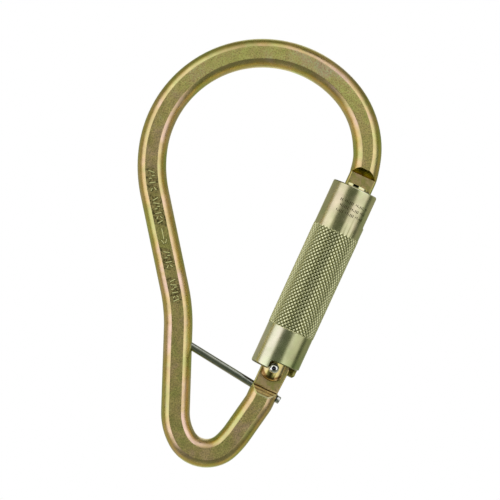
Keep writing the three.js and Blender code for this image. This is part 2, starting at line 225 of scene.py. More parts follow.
def turned_mesh(profile, sides, offset=None):
    """A body of revolution about Z from (radius, height) points. A profile that doesn't start on
    the axis closes on itself. offset(turn, radius, height) may move a point's radius."""
    bm = bmesh.new()
    on_axis = profile[0][0] == 0
    inner = profile[1:-1] if on_axis else profile
    rings = []
    for radius, height in inner:
        ring = []
        for j in range(sides):
            turn = 2 * math.pi * j / sides
            r = radius + (offset(turn, radius, height) if offset else 0.0)
            ring.append(bm.verts.new((r * math.sin(turn), -r * math.cos(turn), height)))
        rings.append(ring)
    if not on_axis:
        for i, ring in enumerate(rings):
            above = rings[(i + 1) % len(rings)]
            for j in range(sides):
                k = (j + 1) % sides
                creased(bm, (ring[j], ring[k], above[k], above[j]))
        return bm
    join(bm, rings)
    for ring, (_, height) in ((rings[0], profile[0]), (rings[-1], profile[-1])):
        tip = bm.verts.new((0, 0, height))
        for j in range(sides):
            bm.faces.new((ring[j], ring[(j + 1) % sides], tip))
    return bm


def quarter_turns(steps):
    """Angles from 0 to a right angle in even steps."""
    return [math.pi / 2 * step / steps for step in range(steps + 1)]


def box_outline(left, right, low, high):
    return [(left, low), (right, low), (right, high), (left, high)]


def curve(start, corner, end, steps):
    """Points on a curve from start to end that bends towards the corner."""
    start, corner, end = Vector(start), Vector(corner), Vector(end)
    shares = [step / steps for step in range(steps + 1)]
    return [tuple(start * (1 - t) ** 2 + corner * 2 * t * (1 - t) + end * t * t) for t in shares]


def rounded(profile, radius, steps=4, closed=False):
    """The profile with every inner corner rounded by an arc-like curve of about that radius."""
    points = [Vector(p) for p in profile]
    out = []
    count = len(points)
    for i, point in enumerate(points):
        if not closed and i in (0, count - 1):
            out.append(tuple(point))
            continue
        before = points[i - 1] - point
        after = points[(i + 1) % count] - point
        reach = min(radius, before.length * 0.45, after.length * 0.45)
        start = point + before.normalized() * reach
        end = point + after.normalized() * reach
        out += curve(start, point, end, steps)
    return out


def prism_mesh(outline, low=-THROUGH, high=THROUGH):
    """An outline in the X-Z plane, extruded along Y."""
    bm = bmesh.new()
    front = [bm.verts.new((x, low, z)) for x, z in outline]
    back = [bm.verts.new((x, high, z)) for x, z in outline]
    skin(bm, [front, back])
    return bm


def wrapped_mesh(columns, inner, outer, radius, chamfer=0.0):
    """A block bent round Z, from (arc, low, high) columns, with the arc measured at a radius. A
    chamfer spreads its high edge (or its low edge, if negative) from just inside the radius out."""
    bm = bmesh.new()
    rings = []
    bend = radius - abs(chamfer)
    for arc, low, high in columns:
        turn = arc / radius
        rise = outer - bend if chamfer > 0 else 0.0
        drop = outer - bend if chamfer < 0 else 0.0
        corners = [(inner, low), (bend, low), (outer, low - drop)]
        corners += [(outer, high + rise), (bend, high), (inner, high)]
        rings.append([bm.verts.new((r * math.sin(turn), -r * math.cos(turn), z)) for r, z in corners])
    skin(bm, rings)
    return bm


def rod_mesh(radius, low, high, sides=64, bevel=0.3):
    """A round bar along Z with eased ends."""
    return turned_mesh(rounded(box_outline(0, radius, low, high), bevel), sides)


def across(bm, height):
    """Turns a shape built along Z to lie along Y at a height on the gate line."""
    bm.transform(Matrix.Translation((0, 0, height)) @ Matrix.Rotation(math.radians(90), 4, "X"))
    return bm


def cross_hole(radius, height):
    return across(rod_mesh(radius, -THROUGH, THROUGH), height)


def combine(piece, shapes, operation):
    """Cuts closed meshes, in the piece's own frame, out of it, or adds them to it."""
    for bm in shapes:
        mesh = mesh_from(bm, "cutter")
        cutter = link_mesh("cutter", mesh)
        modifier = piece.modifiers.new("cut", "BOOLEAN")
        modifier.operation = operation
        modifier.solver = "MANIFOLD"
        modifier.object = cutter
        graph = bpy.context.evaluated_depsgraph_get()
        made = bpy.data.meshes.new_from_object(piece.evaluated_get(graph))
        piece.modifiers.clear()
        old = piece.data
        piece.data = made
        bpy.data.meshes.remove(old)
        bpy.data.objects.remove(cutter)
        bpy.data.meshes.remove(mesh)


def solid(bm, name, place, cutters=(), sharp_degrees=32.0, added=()):
    """A piece from a bmesh in millimetres, less its cutters and with its added shapes, in place."""
    rough = link_mesh(name + "_rough", mesh_from(bm, name))
    combine(rough, cutters, "DIFFERENCE")
    combine(rough, added, "UNION")
    made = bmesh.new()
    made.from_mesh(rough.data)
    old = rough.data
    bpy.data.objects.remove(rough)
    bpy.data.meshes.remove(old)
    bmesh.ops.remove_doubles(made, verts=made.verts, dist=1e-5)
    return finish_mesh(made, name, place, sharp_degrees)


# ---------------------------------------------------------------- the bar

# The centre line from the end of the hinge tang, down round the bottom bow, up the spine and over
# the top bow to the tip of the nose tang: straight lengths, and (radius, turn in degrees) bends.
BAR_STRETCHES = [
    HINGE_TANG_END - HINGE_SHOULDER + 6.0,
    (12.0, -10.4),
    15.2,
    (38.8, -12.3),
    (12.7, -103.4),
    (24.2, -31.1),
    37.2,
    (75.0, 13.7),
    44.4,
    (58.4, -20.6),
    (49.7, -131.0),
    (40.1, -56.1),
    0.8,
    (12.0, -8.8),
    18.1,
]
BAR_STEP = 0.8
SHOULDER_STEP = 0.1
SPINE_EDGE = -15.0
SPINE_SPAN = (-115.0, -50.0)
# raised marks on the spine: (top, foot, number of marks) of each group, and the strokes of each kind
# of mark, between points of (distance across, share of a mark's pitch)
MARK_GROUPS = ((-55.0, -65.2, 4), (-67.2, -79.0, 6), (-89.6, -98.0, 4), (-101.8, -112.0, 6))
ARROW_SPAN = (-80.4, -87.2)
MARK_HEIGHT = 0.3
MARK_WIDTH = 0.30
MARK_SLOPE = 0.28
ARROW_HEAD = 1.2
MARK_STROKES = (
    (((-1.25, -0.22), (1.25, 0.22)),),
    (((-1.3, 0.2), (-0.1, 0.2)), ((0.1, -0.2), (1.3, -0.2))),
    (((-1.3, 0.0), (1.3, 0.0)),),
    (((1.2, -0.25), (0.5, 0.25)), ((-1.2, -0.25), (-0.5, 0.25))),
    (((-1.25, 0.22), (1.25, -0.22)),),
)
BURR_HEIGHT = 0.42
BURR_RISE = 0.5
BURR_FALL = 0.2
SHOULDER_NEAR = 5.0
SKEW_NEAR = 3.2
SKEW_FAR = 16.0
NOSE_HALF_FLAT = 6.2
TAPER_HEIGHTS = (-12.0, -38.0)


def ahead(heading):
    return Vector((math.cos(heading), 0, math.sin(heading)))


def sideways(heading):
    return Vector((-math.sin(heading), 0, math.cos(heading)))


def gate_point(across_line, along_line):
    return GATE_PLACE @ Vector((across_line, 0.0, along_line))


def along_gate(point):
    return (point - HINGE).dot(GATE_UP)


def bar_line(step):
    """Points and headings along the centre line, about a step apart."""
    at = gate_point(HINGE_TANG_OFFSET, HINGE_TANG_END)
    heading = -math.pi / 2 - GATE_LEAN
    stations = [(at.copy(), heading)]
    for stretch in BAR_STRETCHES:
        radius, turn = stretch if isinstance(stretch, tuple) else (None, 0.0)
        turn = math.radians(turn)
        length = radius * abs(turn) if radius else stretch
        count = max(1, round(length / step))
        start, first = at.copy(), heading
        for i in range(1, count + 1):
            share = i / count
            if radius:
                side = math.copysign(1.0, turn)
                swing = first + turn * share
                centre = start + sideways(first) * radius * side
                at = centre - sideways(swing) * radius * side
                heading = swing
            else:
                at = start + ahead(first) * length * share
            stations.append((at.copy(), heading))
    return stations


def bar_stations():
    """Stations of the bar, finer near its two shoulders: the point, the heading, the height on the
    gate line, and whether it is near the hinge and near the nose."""
    fine = bar_line(SHOULDER_STEP)
    gate_heading = -math.pi / 2 - GATE_LEAN
    keep_every = round(BAR_STEP / SHOULDER_STEP)
    end_zone = 3 * SKEW_FAR / SHOULDER_STEP
    stations = []
    for i, (at, heading) in enumerate(fine):
        height = along_gate(at)
        near_hinge = i < end_zone and height > HINGE_SHOULDER - SHOULDER_NEAR
        near_nose = i > len(fine) - end_zone and height < NOSE_SHOULDER + SKEW_FAR
        if not (near_hinge or near_nose or i % keep_every == 0):
            continue
        if near_nose:
            # near the nose the sections turn square to the gate line, as the shoulder is
            share = (height - NOSE_SHOULDER - SKEW_NEAR) / (SKEW_FAR - SKEW_NEAR)
            share = min(1.0, max(0.0, share))
            share = share * share * (3 - 2 * share)
            own = (heading + 2 * math.pi) if heading < gate_heading - math.pi else heading
            heading = gate_heading + (own - gate_heading) * share
        stations.append((at, heading, height, near_hinge, near_nose))
    return stations


def full_half_thickness(at):
    """Half the bar's thickness at its flats, which narrow a little on the way to the nose."""
    if at.x < 0 or at.z < gate_point(0, NOSE_TIP).z:
        return BAR_HALF_FLAT
    start, end = TAPER_HEIGHTS
    share = min(1.0, max(0.0, (start - at.z) / (start - end)))
    return BAR_HALF_FLAT + (NOSE_HALF_FLAT - BAR_HALF_FLAT) * share


def milled(height, near_hinge, near_nose, full):
    """Half thickness, half width and outward stretch of the bar at a height on the gate line."""
    if near_hinge:
        past, tang_width = HINGE_SHOULDER - height, HINGE_TANG_HALF_WIDTH
    elif near_nose:
        past, tang_width = height - NOSE_SHOULDER, NOSE_TANG_HALF_WIDTH
    else:
        return full, BAR_SIDE, 1.0
    # a burr is left along the root of the hinge's slope: a long rise, then a short fall
    burr = 0.0
    if near_hinge:
        burr = BURR_HEIGHT * max(0.0, min(1 + (past + BURR_FALL) / BURR_RISE, -past / BURR_FALL))
    thickness = min(full, TANG_HALF_THICKNESS + max(0.0, past) + burr)
    ease = min(1.0, max(0.0, past / 0.5))
    width = tang_width + (BAR_SIDE - tang_width) * ease
    flare = 1.0
    if near_hinge:
        flare += HINGE_EYE_FLARE / tang_width * min(1.0, max(0.0, past / HINGE_SHOULDER))
    return thickness, width, flare


def bar_section(thickness, width):
    """The section as (across, depth) points: flats front and back, round sides, eased corners."""
    flat_edge = math.sqrt(BAR_RADIUS ** 2 - thickness ** 2)
    side_edge = math.sqrt(BAR_RADIUS ** 2 - width ** 2)
    ease = 0.12 + 0.2 * max(0.0, BAR_HALF_FLAT - thickness) / (BAR_HALF_FLAT - TANG_HALF_THICKNESS)
    start = math.atan2(flat_edge, thickness)
    end = math.atan2(width, side_edge)
    ease_turn = min(ease / BAR_RADIUS, (end - start) * 0.4)

    def on_arc(turn):
        return BAR_RADIUS * math.sin(turn), BAR_RADIUS * math.cos(turn)

    quarter = [((flat_edge - ease) * i / 4, thickness) for i in range(4)]
    quarter += curve((flat_edge - ease, thickness), (flat_edge, thickness),
                     on_arc(start + ease_turn), 4)[:-1]
    arc_steps = 10
    for i in range(arc_steps):
        quarter.append(on_arc(start + ease_turn + (end - start - 2 * ease_turn) * i / arc_steps))
    side_point = (width, side_edge * 0.6)
    quarter += curve(on_arc(end - ease_turn), (width, side_edge), side_point, 3)[:-1]
    quarter.append(side_point)
    side = [(width, 0.0)]
    flat_back = [(a, -b) for a, b in reversed(quarter)]
    right = quarter + side + flat_back
    left = [(-a, b) for a, b in reversed(right[1:-1])]
    return right + left


def cam_cutter():
    """What lies beyond the cam end of the hinge tang."""
    left = HINGE_TANG_OFFSET - HINGE_TANG_HALF_WIDTH
    middle = HINGE_TANG_OFFSET + HINGE_TANG_HALF_WIDTH - CAM_RADIUS
    reach = CAM_RADIUS + HINGE_EYE_FLARE
    heel, toe = -0.5, 2.0
    outline = [(FAR, heel), (FAR, FAR), (-FAR, FAR), (-FAR, toe), (left, toe)]
    sweep = math.radians(HINGE_JOINT["range_deg"][1] + CAM_SPARE_DEGREES)
    steps = 20
    for step in range(steps, -1, -1):
        turn = sweep * step / steps
        radius = CAM_RADIUS + CAM_RISE_PER_RADIAN * turn
        outline.append((-radius * math.sin(turn), radius * math.cos(turn)))
    for turn in quarter_turns(steps):
        outline.append((middle + reach * math.sin(turn), CAM_RADIUS * math.cos(turn)))
    outline.append((middle + reach + 0.05, heel))
    return prism_mesh(outline)


def notch_cutter():
    """The notch in the nose hook that takes the latch pin."""
    notch = LATCH_PIN_RADIUS + CLEARANCE
    mouth = -15.0
    outline = [(mouth, LATCH_HEIGHT - notch)]
    steps = 24
    for step in range(steps + 1):
        turn = -math.pi / 2 + math.pi * step / steps
        outline.append((notch * math.cos(turn), LATCH_HEIGHT + notch * math.sin(turn)))
    outline.append((mouth, LATCH_HEIGHT + notch))
    return prism_mesh(outline)


def tip_cutters():
    """Bevels at the two corners of the nose hook's tip."""
    cutters = []
    for side in (-1, 1):
        corner = NOSE_TANG_OFFSET + side * NOSE_TANG_HALF_WIDTH
        inner, outer = corner - side * NOSE_TIP_BEVEL, corner + side
        outline = [(inner, NOSE_TIP - 1), (outer, NOSE_TIP - 1), (outer, NOSE_TIP + NOSE_TIP_BEVEL)]
        cutters.append(prism_mesh(outline))
    return cutters


def make_bar():
    bm = bmesh.new()
    rings = []
    for at, heading, height, near_hinge, near_nose in bar_stations():
        thickness, width, flare = milled(height, near_hinge, near_nose, full_half_thickness(at))
        side = sideways(heading)
        section = [(a * flare if a > 0 else a, b) for a, b in bar_section(thickness, width)]
        rings.append([bm.verts.new(at + side * a + Vector((0, b, 0))) for a, b in section])
    skin(bm, rings)
    cutters = [cam_cutter(), notch_cutter(), cross_hole(RIVET_RADIUS + CLEARANCE, 0)] + tip_cutters()
    for cutter in cutters:
        cutter.transform(GATE_PLACE)
    pin_hole = rod_mesh(PIN_RADIUS + PIN_CLEARANCE, -CLEARANCE, PIN_LINE.length + 5)
    pin_hole.transform(PIN_PLACE)
    return solid(bm, "bar", UPRIGHT, cutters + [pin_hole], 24.0, [spine_marks()])


def spine_stations():
    """Points up the spine, with the directions along and across the bar there."""
    stations = []
    low, high = SPINE_SPAN
    for at, heading in bar_line(0.5):
        if at.x < SPINE_EDGE and low < at.z < high:
            stations.append((at, ahead(heading), sideways(heading)))
    return stations


def raised_stroke(bm, station, start, end):
    """A raised straight stroke with sloping sides, between two (across, along) points."""
    at, along, side = station
    line = (Vector(end) - Vector(start)).normalized()
    rings = []
    for depth, grow in ((MARK_HEIGHT, MARK_SLOPE), (0.0, MARK_SLOPE), (-MARK_HEIGHT, 0.0)):
        half = Vector((-line.y, line.x)) * (MARK_WIDTH / 2 + grow)
        near = Vector(start) - line * grow
        far = Vector(end) + line * grow
        level = at + Vector((0, depth - BAR_HALF_FLAT, 0))
        corners = (near - half, far - half, far + half, near + half)
        rings.append([bm.verts.new(level + side * corner.x + along * corner.y) for corner in corners])
    skin(bm, rings)


def spine_marks():
    """Groups of plain raised strokes along the spine, and an arrow that points down it."""
    bm = bmesh.new()
    stations = spine_stations()

    def at_height(height):
        return min(stations, key=lambda station: abs(station[0].z - height))

    kind = 0
    for top, foot, count in MARK_GROUPS:
        pitch = (top - foot) / count
        for i in range(count):
            for start, end in MARK_STROKES[kind % len(MARK_STROKES)]:
                raised_stroke(bm, at_height(top - pitch * (i + 0.5)), (start[0], start[1] * pitch),
                              (end[0], end[1] * pitch))
            kind += 1
    tail, tip = ARROW_SPAN
    station = at_height((tail + tip) / 2)
    up = 1 if station[1].z > 0 else -1
    half = (tail - tip) / 2
    raised_stroke(bm, station, (0, half * up), (0, (ARROW_HEAD + 0.7 - half) * up))
    for way in (-1, 1):
        barb = (way * ARROW_HEAD, (ARROW_HEAD + 0.4 - half) * up)
        raised_stroke(bm, station, barb, (way * 0.32, -half * up))
    return bm


def make_captive_pin():
    return solid(rod_mesh(PIN_RADIUS, 0, PIN_LINE.length, 64, 0.5), "cross_pin", PIN_PLACE)


# ---------------------------------------------------------------- the gate

def ear_cutter():
    """What is turned away round the hinge ears, which leaves a round end with an eased rim."""
    front = []
    for turn in quarter_turns(8):
        radius = EAR_RADIUS - EAR_RIM_RISE * (1 - math.cos(turn))
        front.append((radius, GATE_RADIUS - EAR_RIM_DEPTH * (1 - math.sin(turn))))
    back = [(radius, -y) for radius, y in reversed(front)]
    section = back + front + [(front[-1][0], FAR), (FAR, FAR), (FAR, -FAR), (front[-1][0], -FAR)]
    bm = bmesh.new()
    rings = []
    sweep_steps = 64
    for step in range(sweep_steps + 1):
        turn = -math.pi * step / sweep_steps
        rings.append([bm.verts.new((r * math.cos(turn), y, r * math.sin(turn))) for r, y in section])
    skin(bm, rings)
    return bm


def make_gate():
    foot = -GATE_RADIUS - 0.5
    profile = [(0, foot), (GATE_RADIUS, foot)]
    for turn in quarter_turns(8):
        radius = GATE_RADIUS - GATE_CROWN * (1 - math.cos(turn))
        profile.append((radius, GATE_TOP - GATE_CROWN * (1 - math.sin(turn))))
    profile.append((0, GATE_TOP))
    fork = (-FORK_HALF_WIDTH, FORK_HALF_WIDTH)
    notch = box_outline(*TOP_NOTCH, GATE_TOP - TOP_NOTCH_DEPTH, GATE_TOP + 1)
    cutters = [
        ear_cutter(),
        prism_mesh(notch, -FAR, -GATE_RADIUS + TOP_NOTCH_REACH),
        prism_mesh(box_outline(-FAR, FAR, -FAR, HINGE_FORK_DEPTH), *fork),
        prism_mesh(box_outline(-FAR, FAR, NOSE_FORK_FLOOR, GATE_TOP + FAR), *fork),
        rod_mesh(SPRING_BORE_RADIUS, HINGE_FORK_DEPTH - 1, SPRING_BORE_END),
        cross_hole(RIVET_RADIUS + CLEARANCE / 2, 0),
        cross_hole(LATCH_PIN_RADIUS + CLEARANCE / 2, LATCH_HEIGHT),
        cross_hole(COLLAR_PIN_RADIUS + CLEARANCE / 2, sum(COLLAR_SPAN) / 2),
    ]
    return solid(turned_mesh(profile, 128), "gate_bar", GATE_PLACE, cutters)


def make_rivet():
    """Tall domed head at the front, shank, and a low peened head at the back."""
    under = GATE_RADIUS + 0.05
    peened = -under - PEENED_EDGE
    profile = [(0, peened - PEENED_RISE)]
    steps = 12
    for turn in quarter_turns(steps)[1:]:
        profile.append((RIVET_HEAD_RADIUS * math.sin(turn), peened - PEENED_RISE * math.cos(turn)))
    profile += [(RIVET_HEAD_RADIUS, -under), (RIVET_RADIUS, -under), (RIVET_RADIUS, under)]
    bevel_in, bevel_up = 0.25, 0.3
    profile += [(RIVET_HEAD_RADIUS - bevel_in, under), (RIVET_HEAD_RADIUS, under + bevel_up)]
    start = math.asin(RIVET_HEAD_RADIUS / RIVET_DOME_RADIUS)
    end = math.asin(RIVET_HOLLOW_RADIUS / RIVET_DOME_RADIUS)
    foot = RIVET_DOME_FOOT - RIVET_DOME_RADIUS * math.cos(start)
    for step in range(steps + 1):
        turn = start + (end - start) * step / steps
        profile.append((RIVET_DOME_RADIUS * math.sin(turn), foot + RIVET_DOME_RADIUS * math.cos(turn)))
    inner, high = profile[-1]
    for turn in quarter_turns(steps)[1:-1]:
        profile.append((inner * math.cos(turn), high - RIVET_HOLLOW_DEPTH * math.sin(turn)))
    profile.append((0, high - RIVET_HOLLOW_DEPTH))
    return solid(across(turned_mesh(profile, 64), 0), "rivet", GATE_PLACE)


def make_latch_pin():
    bm = across(rod_mesh(LATCH_PIN_RADIUS, -GATE_RADIUS + 0.3, GATE_RADIUS - 0.3, 48, 0.4), LATCH_HEIGHT)
    return solid(bm, "nose_pin", GATE_PLACE)


def ring_mesh(bore, span, ease):
    """A ring round the gate line that is as wide as the bush, with eased edges."""
    return turned_mesh(rounded(box_outline(bore, BUSH_RADIUS, *span), ease, closed=True), 96)


def make_collar():
    hole = cross_hole(COLLAR_PIN_RADIUS + CLEARANCE / 2, sum(COLLAR_SPAN) / 2)
    return solid(ring_mesh(BUSH_BORE, COLLAR_SPAN, 0.35), "gate_collar", GATE_PLACE, [hole])


def make_collar_pin():
    half = BUSH_RADIUS - 0.3
    return solid(across(rod_mesh(COLLAR_PIN_RADIUS, -half, half, 32, 0.25), sum(COLLAR_SPAN) / 2),
                 "collar_cross_pin", GATE_PLACE)


def make_plunger():
    tip = CAM_RADIUS + CLEARANCE
    profile = [(0, tip)]
    for turn in quarter_turns(8)[1:]:
        profile.append((PLUNGER_TIP_RADIUS * math.sin(turn), tip + PLUNGER_TIP_RADIUS * (1 - math.cos(turn))))
    profile += [(PLUNGER_RADIUS, tip + PLUNGER_NOSE), (PLUNGER_RADIUS, PLUNGER_TOP)]
    end = PLUNGER_TOP + SPIGOT_LENGTH
    profile += [(SPIGOT_RADIUS, PLUNGER_TOP), (SPIGOT_RADIUS, end), (0, end)]
    return solid(turned_mesh(profile, 48), "plunger_rod", GATE_PLACE)


def coil(name, coil_radius, wire_radius, low, high, turns):
    """A coil spring along the gate line, with its end turns closed up."""
    sides, per_turn = 12, 36
    count = round(turns * per_turn)
    bm = bmesh.new()
    rings = []
    for i in range(count + 1):
        t = i / count
        turn = 2 * math.pi * turns * t
        closed_share = 1.0 / turns
        ramp = min(1.0, t / closed_share, (1 - t) / closed_share)
        rise = t * (high - low)
        ease = (1 - ramp) * 0.35 * (high - low) / turns
        rise += -ease * t / closed_share if t < 0.5 else ease * (1 - t) / closed_share
        centre = Vector((coil_radius * math.cos(turn), coil_radius * math.sin(turn), low + rise))
        out = Vector((math.cos(turn), math.sin(turn), 0))
        ring = []
        for j in range(sides):
            angle = 2 * math.pi * j / sides
            lift = Vector((0, 0, wire_radius * math.sin(angle)))
            ring.append(bm.verts.new(centre + out * wire_radius * math.cos(angle) + lift))
        rings.append(ring)
    skin(bm, rings)
    return solid(bm, name, GATE_PLACE)


# ---------------------------------------------------------------- the sleeve

def wave(turns):
    """A triangle wave: 1 on each whole turn, 0 half way between."""
    return abs(2 * (turns - math.floor(turns)) - 1)


def knurl(turn, radius, height):
    """How far the diamond knurl's two sets of grooves sink a point of the band."""
    if radius != KNURL_RADIUS:
        return 0.0
    run_out = 0.5
    share = min(1.0, (height - KNURL_FOOT) / run_out, (KNURL_TOP - height) / run_out)
    share = max(0.0, share)
    around = KNURL_STARTS * turn / (2 * math.pi)
    along = (height - KNURL_FOOT) / KNURL_PITCH
    ridge = min(wave(along + around), wave(along - around))
    step_down = (KNURL_RADIUS - SLEEVE_RADIUS) * (1 - share)
    return -step_down - KNURL_DEPTH * share * (1 - min(1.0, ridge / KNURL_FLANK))


def sleeve_profile():
    inward, upward = FOOT_EDGE
    foot = []
    for turn in quarter_turns(8):
        radius = SLEEVE_RADIUS - inward * (1 - math.sin(turn))
        foot.append((radius, SLEEVE_FOOT + upward * (1 - math.cos(turn))))
    foot.append((SLEEVE_RADIUS, KNURL_FOOT - 0.3))
    step = KNURL_PITCH / KNURL_DIVISIONS
    rows = int((KNURL_TOP - KNURL_FOOT) / step)
    band = [(KNURL_RADIUS, KNURL_FOOT + step * i) for i in range(rows + 1)]
    head = rounded([
        (SLEEVE_RADIUS, KNURL_TOP + 0.3), (SLEEVE_RADIUS, SLEEVE_TOP), (NECK_BORE, SLEEVE_TOP),
        (NECK_BORE, NECK_FOOT)], 0.7, 6)
    bore = [(SLEEVE_BORE, NECK_FOOT), (SLEEVE_BORE, SLEEVE_FOOT + 0.5)]
    return foot + band + head + bore


def opening_columns(left, right, depth, corner, flares):
    """Columns (arc, reach) of an opening cut into an edge, with filleted inner corners and rounded
    outer ones. reach is how far from the edge the opening goes there."""
    steps = 10
    # the walls lean by this much, so that no two columns are at one place
    lean = 0.002
    sides = []
    for end, inward, flare in ((left, 1, flares[0]), (right, -1, flares[1])):
        side = []
        for turn in quarter_turns(steps):
            side.append((end - inward * flare * (1 - math.sin(turn)), flare * (1 - math.cos(turn))))
        for turn in quarter_turns(steps):
            shift = corner * (1 - math.cos(turn)) + lean
            side.append((end + inward * shift, depth - corner * (1 - math.sin(turn))))
        sides.append(side)
    start, end = sides[0][-1][0], sides[1][-1][0]
    count = max(2, round((end - start) / 0.5))
    middle = [(start + (end - start) * i / count, depth) for i in range(1, count)]
    return sides[0] + middle + sides[1][::-1]


def window_cutter():
    """The window in the sleeve's foot that leaves room for the rivet head and the body's limb."""
    left = math.radians(WINDOW_FROM) * SLEEVE_RADIUS
    right = math.radians(WINDOW_TO) * SLEEVE_RADIUS
    columns = opening_columns(left, right, WINDOW_TOP - SLEEVE_FOOT, WINDOW_CORNER, WINDOW_FLARES)
    columns = [(arc, SLEEVE_FOOT - 6, SLEEVE_FOOT + reach) for arc, reach in columns]
    return wrapped_mesh(columns, NECK_BORE - 2, SLEEVE_RADIUS + 2, SLEEVE_RADIUS, EDGE_CHAMFER)


def slot_cutter():
    """The slot in the neck that lets the nose out, on the outer side."""
    centre = math.pi / 2 * SLEEVE_RADIUS
    columns = opening_columns(centre - SLOT_HALF_WIDTH, centre + SLOT_HALF_WIDTH,
                              SLEEVE_TOP - SLOT_FLOOR, SLOT_CORNER, SLOT_FLARES)
    columns = [(arc, SLEEVE_TOP - reach, SLEEVE_TOP + 6) for arc, reach in columns]
    return wrapped_mesh(columns, NECK_BORE - 4, SLEEVE_RADIUS + 2, SLEEVE_RADIUS, -EDGE_CHAMFER)


def etched_marks():
    """Rows of shallow plain ticks engraved across the front of the neck."""
    bm = bmesh.new()
    for row, height in enumerate(TICK_ROWS):
        for i in range(TICKS_PER_ROW):
            kind = TICK_KINDS[(3 * row + 5 * i) % len(TICK_KINDS)]
            if kind is None:
                continue
            half_height, lift = kind
            middle = math.radians(TICKS_FROM + (TICKS_TO - TICKS_FROM) * (i + 0.5) / TICKS_PER_ROW)
            arc = middle * SLEEVE_RADIUS
            low, high = height + lift - half_height, height + lift + half_height
            columns = [(arc - TICK_HALF_WIDTH, low, high), (arc + TICK_HALF_WIDTH, low, high)]
            tick = wrapped_mesh(columns, SLEEVE_RADIUS - TICK_DEPTH, SLEEVE_RADIUS + 1, SLEEVE_RADIUS)
            mesh = mesh_from(tick, "tick")
            bm.from_mesh(mesh)
            bpy.data.meshes.remove(mesh)
    return bm


def make_sleeve():
    bm = turned_mesh(sleeve_profile(), KNURL_STARTS * KNURL_DIVISIONS, knurl)
    return solid(bm, "twist_sleeve", GATE_PLACE, [window_cutter(), slot_cutter(), etched_marks()], 20.0)


def make_bush():
    return solid(ring_mesh(BUSH_BORE, BUSH_SPAN, 0.4), "guide_bush", GATE_PLACE)


def make_snap_ring():
    gap = prism_mesh(box_outline(-RING_HALF_GAP, RING_HALF_GAP, 0, 6), 0.0, 12.0)
    return solid(ring_mesh(RING_BORE, RING_SPAN, 0.4), "wire_ring", GATE_PLACE, [gap])


# ---------------------------------------------------------------- node trees

class Signal:
    """What a node puts out, with arithmetic and masks that add more nodes."""

    def __init__(self, nodes, socket):
        self.nodes = nodes
        self.socket = socket

    def __add__(self, other):
        return self.nodes.math("ADD", self, other)

    def __sub__(self, other):
        return self.nodes.math("SUBTRACT", self, other)

    def __rsub__(self, other):
        return self.nodes.math("SUBTRACT", other, self)

    def __mul__(self, other):
        return self.nodes.math("MULTIPLY", self, other)

    def __truediv__(self, other):
        return self.nodes.math("DIVIDE", self, other)

    def __abs__(self):
        return self.nodes.math("ABSOLUTE", self)

    def larger(self, other):
        return self.nodes.math("MAXIMUM", self, other)

    def spread(self, low, high, to_low=0.0, to_high=1.0, curve="LINEAR"):
        """Maps low to high onto to_low to to_high, and holds the end values outside."""
        return self.nodes.add("ShaderNodeMapRange", self, low, high, to_low, to_high,
                              interpolation_type=curve)

    def within(self, low, high, soft=0.05):
        """1 between two values and 0 outside them."""
        return self.spread(low - soft, low + soft) * self.spread(high - soft, high + soft, 1.0, 0.0)

    def step(self, middle, soft):
        """0 below the middle and 1 above it, with a soft edge."""
        return self.spread(middle - soft, middle + soft, curve="SMOOTHSTEP")

    def band(self, low, high, soft):
        """1 between two values and 0 outside them, with soft edges."""
        return self.step(low, soft) * (1.0 - self.step(high, soft))

    def grey(self):
        return self.nodes.add("ShaderNodeCombineColor", self, self, self)

    def under(self, share, cover):
        """This colour with a share of another colour over it."""
        return self.nodes.mix(share, self, cover)

    def tinted(self, tint):
        """This colour times another colour."""
        return self.nodes.mix(1.0, self, tint, "MULTIPLY")

    def ramp(self, *stops):
        """A colour that changes with this value, from (value, colour) stops."""
        made = self.nodes.node("ShaderNodeValToRGB")
        self.nodes.put(made.inputs[0], self)
        elements = made.color_ramp.elements
        while len(elements) < len(stops):
            elements.new(0.5)
        for element, (place, colour) in zip(elements, stops):
            element.position = place
            element.color = (*colour, 1.0)
        return Signal(self.nodes, made.outputs[0])


class Nodes:
    """The node tree of a material or a world, and short ways to add and join its nodes."""

    def __init__(self, owner):
        owner.use_nodes = True
        self.tree = owner.node_tree

    def node(self, kind, **settings):
        made = self.tree.nodes.new(kind)
        for key, value in settings.items():
            setattr(made, key, value)
        return made

    def put(self, socket, value):
        if isinstance(value, Signal):
            self.tree.links.new(value.socket, socket)
        else:
            socket.default_value = value

    def add(self, kind, *values, output=0, **settings):
        """Adds a node with its first inputs filled in, and gives back one of its outputs."""
        made = self.node(kind, **settings)
        for socket, value in zip(made.inputs, values):
            self.put(socket, value)
        return Signal(self, made.outputs[output])

    def math(self, operation, *values):
        return self.add("ShaderNodeMath", *values, operation=operation)

    def dot(self, a, b):
        return self.add("ShaderNodeVectorMath", a, tuple(b), output="Value", operation="DOT_PRODUCT")

    def mix(self, share, a, b, blend="MIX"):
        made = self.node("ShaderNodeMix", data_type="RGBA", blend_type=blend)
        for index, value in ((0, share), (6, a), (7, b)):
            self.put(made.inputs[index], (*value, 1.0) if isinstance(value, tuple) else value)
        return Signal(self, made.outputs[2])


# ---------------------------------------------------------------- materials

